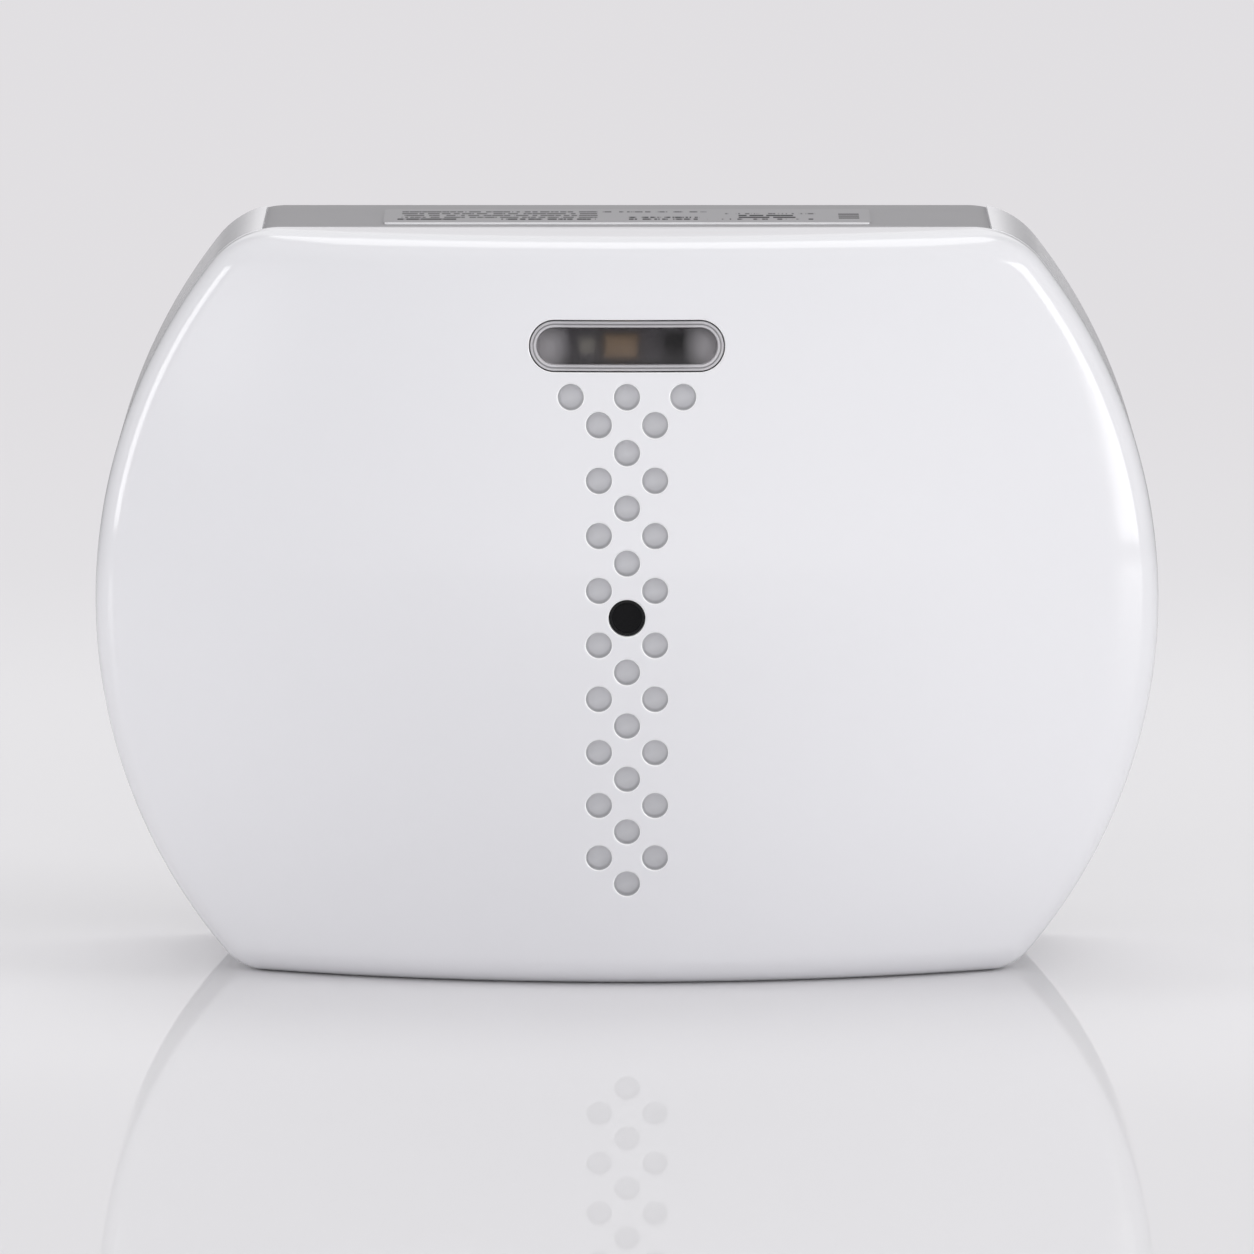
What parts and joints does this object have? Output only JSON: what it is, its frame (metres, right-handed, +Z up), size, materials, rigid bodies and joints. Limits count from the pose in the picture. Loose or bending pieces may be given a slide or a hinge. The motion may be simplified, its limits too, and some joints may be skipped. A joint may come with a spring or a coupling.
{
  "type": "glass break sensor",
  "caption": "Wall detector in a glossy two-part case with a domed face, smoked indicator window, microphone port and a column of blind dimples.",
  "frame": {"origin": "under the middle of the case, on the surface that it stands on", "axes": "+X to the right seen from the front, +Y from the domed face towards the wall, +Z up"},
  "size_m": [0.108, 0.0446, 0.076],
  "materials": {
    "cover_shell": "polished white moulding",
    "base_shell": "white moulding, with a fine grey matt texture on the sunk panel",
    "label_film": "satin grey film",
    "smoked_lens": "smoked translucent, frosted at the back",
    "white_reflector": "matt white",
    "led_resin": "clear resin over a pale body",
    "tantalum_resin": "amber moulding resin",
    "chip_resin": "black moulding resin with tinned legs",
    "boot_rubber": "matt black",
    "dust_felt": "black felt",
    "capsule_can": "pressed",
    "board_laminate": "green solder resist with tracks and pads",
    "tinned_steel": "tinned",
    "crystal_can": "nickel plated",
    "capacitor_can": "printed film over the can, bare at the end",
    "header_plastic": "black",
    "gold_pins": "gold flash",
    "resistor_body": "glazed black with tinned ends",
    "antenna_copper": "lacquered copper",
    "holder_plastic": "moulded black",
    "cell_sleeve": "plain film sleeve, bare ends",
    "contact_steel": "nickel plated spring strip",
    "switch_plastic": "black with a steel cap",
    "button_plastic": "white",
    "plunger_plastic": "red",
    "screw_steel": "zinc plated"
  },
  "bodies": {
    "housing": {"front_cover": "cover_shell", "rear_base": "base_shell", "top_label": "label_film", "window_lens": "smoked_lens", "light_box": "white_reflector", "microphone_boot": "boot_rubber", "microphone_felt": "dust_felt", "microphone_capsule": "capsule_can", "circuit_board": "board_laminate", "status_led": "led_resin", "tantalum_capacitor": "tantalum_resin", "tone_detector": "chip_resin", "main_chip": "chip_resin", "audio_chip": "chip_resin", "radio_shield": "tinned_steel", "quartz_crystal": "crystal_can", "reservoir_capacitor": "capacitor_can", "header_strip": "header_plastic", "header_pins": "gold_pins", "chip_resistors": "resistor_body", "antenna_wire": "antenna_copper", "battery_holder": "holder_plastic", "battery_cell": "cell_sleeve", "battery_plate": "contact_steel", "battery_spring": "contact_steel", "enroll_switch_body": "switch_plastic", "tamper_switch_body": "switch_plastic", "tamper_plunger": "plunger_plastic", "board_screws": "screw_steel", "cover_screw": "screw_steel"},
    "enroll_button": {"enroll_button": "button_plastic"}
  },
  "joints": [
    {"name": "enroll_press", "type": "slide", "parent": "housing", "child": "enroll_button", "axis": [0, -1, 0], "range_m": [0, 0.00025], "stiffness_N_per_m": 1000, "springref_m": -0.001}
  ]
}
